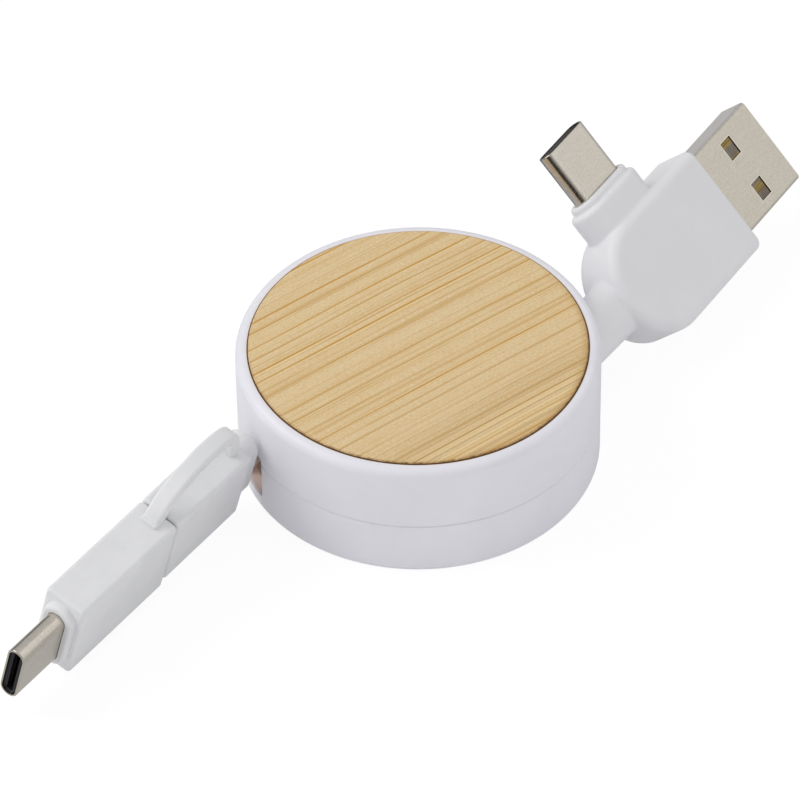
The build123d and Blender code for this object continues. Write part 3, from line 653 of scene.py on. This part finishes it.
def add_foot(mesh, centre, size, edge):
    """Add a block with rounded edges to a band: the foot that the band stands on."""
    shape = bmesh.new()
    shape.from_mesh(mesh)
    bmesh.ops.remove_doubles(shape, verts=shape.verts, dist=merge_distance)
    block = bmesh.ops.create_cube(shape, size=1.0)["verts"]
    for corner in block:
        corner.co = Vector(corner.co[k] * size[k] + centre[k] for k in range(3))
    rims = {rim for corner in block for rim in corner.link_edges}
    bmesh.ops.bevel(shape, geom=list(rims), offset=edge, segments=4, profile=0.5, affect="EDGES")
    bmesh.ops.recalc_face_normals(shape, faces=shape.faces)
    shape.to_mesh(mesh)
    shape.free()


# Soft mouldings

def make_even(name, mesh, step):
    """An object of the mesh made over into small even faces."""
    piece = add_object(name, mesh)
    modifier = piece.modifiers.new("Even mesh", "REMESH")
    modifier.mode = "VOXEL"
    modifier.voxel_size = step
    modifier.use_smooth_shade = True
    even = bake(piece)
    piece.modifiers.clear()
    piece.data = even
    return piece


def relax(mesh, weigh, rounds):
    """Soften a mesh: each round moves its points towards their neighbours, as far as their weight says."""
    points = np.empty(len(mesh.vertices) * 3)
    mesh.vertices.foreach_get("co", points)
    points = points.reshape(-1, 3)
    edges = np.empty(len(mesh.edges) * 2, int)
    mesh.edges.foreach_get("vertices", edges)
    edges = edges.reshape(-1, 2)
    count = np.bincount(edges.ravel(), minlength=len(points))[:, None]
    share = 0.6 * weigh(points)[:, None]
    for _ in range(rounds):
        total = np.zeros_like(points)
        np.add.at(total, edges[:, 0], points[edges[:, 1]])
        np.add.at(total, edges[:, 1], points[edges[:, 0]])
        points += share * (total / count - points)
    mesh.vertices.foreach_set("co", points.ravel())


def settle(piece, place, finish):
    """Put a softened piece in its place and give it its finish."""
    piece.data.transform(place)
    piece.data.materials.clear()
    piece.data.materials.append(finish)
    piece.data.update()


# Line of the strap in the left lead's frame, in millimetres: from the adapter over its crown to the plug
strap_line = [
    (38.70, 4.80), (38.36, 5.55), (37.55, 6.97), (36.38, 8.17), (34.70, 9.02), (32.40, 9.68), (30.20, 10.03),
    (28.30, 9.98), (26.70, 9.72), (25.55, 9.18), (24.78, 8.14), (24.50, 6.90), (24.42, 5.90), (24.40, 4.80)]


def make_soft_strap():
    """The strap and the foot it stands on, as one soft piece."""
    points = [(x * MM, y * MM, 0) for x, y in strap_line]
    band = make_band("strap_band", points, strap_width, strap_thickness, strap_edge, 90, lead_grey)
    add_foot(band.data, Vector((38.95, 5.55, 0)) * MM, (1.2 * MM, 0.8 * MM, strap_width), 0.20 * MM)
    piece = make_even("soft_strap", band.data, 0.07 * MM)
    bpy.data.objects.remove(band)
    relax(piece.data, lambda points: np.ones(len(points)), 2)
    settle(piece, left_frame, lead_grey)
    return piece


soft_strap = make_soft_strap()
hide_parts("strap")
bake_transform(soft_strap)


# Flat cables from the coil to the leads, and their turns on the drum

def cable_points(axis, offset, height, end_along):
    """Plan points of a lead's flat cable: off the coil, a bend by the slot, into the neck."""
    side = axis.cross(up)
    bend_circle = (coil_radius + inner_radius) / 2
    bend = side * offset + axis * sqrt(bend_circle**2 - offset**2)
    bearing = bend.normalized()
    tangent_circle = coil_radius + 0.1 * MM + cable_thickness / 2
    share = tangent_circle / bend_circle
    start = (bearing * share + bearing.cross(up) * sqrt(1 - share**2)) * tangent_circle
    end = side * offset + axis * end_along
    before, after = bend.lerp(start, 0.25), bend.lerp(end, 0.25)
    middle = (before + after + bend * 2) / 4
    path = (start, start.lerp(before, 0.5), before, middle, after, after.lerp(end, 0.5), end)
    return [point + up * height for point in path]


for name, lead, axis, offset, height, neck_end in (
        ("right_cable", "right_lead", right_axis, right_offset, right_height, right_neck_end),
        ("left_cable", "left_lead", left_axis, left_offset, left_cable_height, left_neck_end)):
    points = cable_points(axis, offset, height, neck_end + pocket_depth)
    flat_cable = make_band("flat_" + name, points, cable_width, cable_thickness, 0.4 * MM, 48, cable_white)
    face_outwards(flat_cable.data)
    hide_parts(name)
    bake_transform(flat_cable)


def spiral_points(start_turn):
    """Points of one lead's turns in the double spiral on the drum."""
    turns = (coil_radius - hub_radius - 2 * cable_thickness) / (2 * cable_thickness)
    steps = int(turns * 40)
    points = []
    for k in range(steps + 1):
        angle = start_turn + 2 * pi * turns * k / steps
        radius = hub_radius + cable_thickness * (0.55 + 2 * turns * k / steps)
        points.append((radius * cos(angle), radius * sin(angle), coil_height))
    return points


for name, start_turn in (("right_lead_turns", 0.0), ("left_lead_turns", pi)):
    points = spiral_points(start_turn)
    turns = make_band(name, points, cable_width, cable_thickness * 0.93, 0.35 * MM, 220, cable_white)
    face_outwards(turns.data)
    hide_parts("wound_cable")
    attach(turns, "drum")


# Head with soft roots

def slot_distance(points, length, width):
    """Signed distance of plan points from the outline of a slot shape."""
    straight = (length - width) / 2
    ends = np.clip(points[:, 0], -straight, straight)
    return np.hypot(points[:, 0] - ends, points[:, 1]) - width / 2


def head_roots(points):
    """Weight of the head's points: full at the roots of boss and neck, none a short way off."""
    reach = 0.36 * MM
    along, wide, out = points.T
    tail = np.abs(np.hypot(along - head_tail_centre, wide + head_tail_drop) - head_tail_radius)
    boss_off = np.abs(slot_distance(np.c_[along - boss_centre, out], boss_length, boss_thickness))
    boss_rise = np.where(along < head_tail_centre, tail, np.abs(wide - boss_foot))
    boss_near = np.where(wide > 4 * MM, np.hypot(boss_off, boss_rise), 1.0)
    neck_off = np.abs(slot_distance(np.c_[wide, out], neck_width, neck_thickness))
    neck_near = np.where(along < 27 * MM, np.hypot(neck_off, tail), 1.0)
    return np.clip(1.6 - 1.6 * np.minimum(boss_near, neck_near) / reach, 0, 1)


def make_soft_head():
    """The moulded head with soft roots where boss and neck join the slab."""
    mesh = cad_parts["head_body"].data.copy()
    mesh.transform(right_frame.inverted())
    face_outwards(mesh)
    piece = make_even("soft_head", mesh, 0.15 * MM)
    relax(piece.data, head_roots, 3)
    settle(piece, right_frame, head_white)
    return piece


soft_head = make_soft_head()
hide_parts("head_body")
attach(soft_head, "right_lead")


# Floor, light and camera

view_turn = Matrix.Rotation(radians(-55.1), 3, "Z")
view_height, view_roll, view_distance = radians(43.46), radians(-0.89), 0.650
view_right = view_turn @ Vector((1, 0, 0))
view_up = view_turn @ Vector((0, sin(view_height), cos(view_height)))
view_ahead = view_turn @ Vector((0, cos(view_height), -sin(view_height)))
view_back = Vector((view_ahead.x, view_ahead.y, 0)).normalized()
frame_right = view_right * cos(view_roll) + view_up * sin(view_roll)
frame_up = view_up * cos(view_roll) - view_right * sin(view_roll)


def make_floor():
    """A pale floor: white to the camera with the shadow on it, greyer in the metal."""
    mesh = bpy.data.meshes.new("floor")
    reach = 3.0
    corners = [(-reach, -reach, 0), (reach, -reach, 0), (reach, reach, 0), (-reach, reach, 0)]
    mesh.from_pydata(corners, [], [(0, 1, 2, 3)])
    finish = Finish("Pale floor")
    finish.set(Base_Color=(0.97, 0.97, 0.98), Roughness=0.9, Specular_IOR_Level=0.0)
    path = finish.put("ShaderNodeLightPath").outputs
    across = finish.dot(finish.place, view_right)
    back = finish.dot(finish.place, view_back)
    near_strip = finish.step(back, 0.020, 0.035)
    far_strip = finish.step(back, 0.08, 0.12, 1.0, 0.0)
    left_strip = finish.step(across, 0.005, 0.020, 1.0, 0.0)
    dark_strip = finish.times(finish.times(near_strip, far_strip), left_strip)
    mirrored = finish.times_plus(dark_strip, -0.50, 0.55)
    strength = finish.times_plus(path["Is Camera Ray"], finish.minus(1.03, mirrored), mirrored)
    white = finish.put("ShaderNodeEmission", {"Strength": strength})
    share = finish.times(finish.larger(path["Is Camera Ray"], path["Is Glossy Ray"]), 0.88)
    both = finish.put("ShaderNodeMixShader", {0: share, 1: finish.shader.outputs[0], 2: white.outputs[0]})
    finish.feed(finish.tree.nodes["Material Output"].inputs["Surface"], both.outputs[0])
    mesh.materials.append(finish.material)
    add_object("floor", mesh)


def make_world():
    """Soft light from all round; mirrored in metal, it is dark low down in front, behind and at the left."""
    world = bpy.data.worlds.new("Studio")
    bpy.context.scene.world = world
    world.use_nodes = True
    bench = Bench(world.node_tree)
    towards = bench.put("ShaderNodeTexCoord").outputs["Generated"]
    height = bench.split(towards)[2]
    unlit = bench.step(bench.dot(towards, view_right), 0.10, 0.50, 0.85, 0.0)
    front = bench.step(bench.dot(towards, view_back), -0.9, -0.5, 1.0, 0.0)

    def sky_ramp(fac, level, low):
        """Sky colour by height: level at the horizon, low a little above it, then even light."""
        ramp = bench.put("ShaderNodeValToRGB", {"Fac": fac})
        stops = ramp.color_ramp.elements
        stops[0].position, stops[0].color = 0.0, (*level, 1)
        stops[1].position, stops[1].color = 1.0, (0.69, 0.69, 0.71, 1)
        stops.new(0.16).color = (*low, 1)
        stops.new(0.36).color = (0.54, 0.54, 0.55, 1)
        return ramp.outputs["Color"]

    soft = sky_ramp(height, (0.36, 0.36, 0.37), (0.48, 0.48, 0.49))
    dark = sky_ramp(bench.times_plus(front, -0.22, height), (0.03, 0.024, 0.018), (0.05, 0.04, 0.03))
    path = bench.put("ShaderNodeLightPath").outputs
    dark_share = bench.times(path["Is Glossy Ray"], bench.larger(unlit, front))
    colour = bench.mix(path["Is Camera Ray"], bench.mix(dark_share, soft, dark), (1.0, 1.0, 1.0))
    bench.feed(world.node_tree.nodes["Background"].inputs["Color"], colour)


def make_camera():
    camera = add_object("camera", bpy.data.cameras.new("camera"))
    target = Vector((0, 0, 7.75 * MM)) - frame_right * 2.22 * MM - frame_up * 0.47 * MM
    turn = Matrix((frame_right, frame_up, -view_ahead)).transposed().to_4x4()
    camera.matrix_world = Matrix.Translation(target - view_ahead * view_distance) @ turn
    camera.data.sensor_width = 36.0
    camera.data.lens = 247.46
    camera.data.clip_start, camera.data.clip_end = 0.01, 20.0
    bpy.context.scene.camera = camera


def make_lamp(name, across, back, high, size, power, mirrored=True):
    """A square soft light placed as seen from the camera: across to the right, back from it, and high."""
    place = view_right * across + view_back * back + up * high
    lamp = add_object(name, bpy.data.lights.new(name, "AREA"))
    lamp.data.shape, lamp.data.size = "SQUARE", size
    lamp.data.energy = power
    lamp.visible_glossy = mirrored
    lamp.matrix_world = Matrix.Translation(place) @ (-place).to_track_quat("-Z", "Y").to_matrix().to_4x4()


make_floor()
make_world()
make_camera()
make_lamp("key_light", -0.75, 0.10, 0.75, 0.6, 4.25)
make_lamp("right_light", 0.99, 0.05, 0.45, 1.7, 3.2)
make_lamp("front_light", -0.20, -0.90, 0.35, 0.6, 0.6, mirrored=False)
make_lamp("left_light", -0.90, -0.15, 0.22, 0.8, 0.8, mirrored=False)
bpy.context.scene.view_settings.view_transform = "Standard"
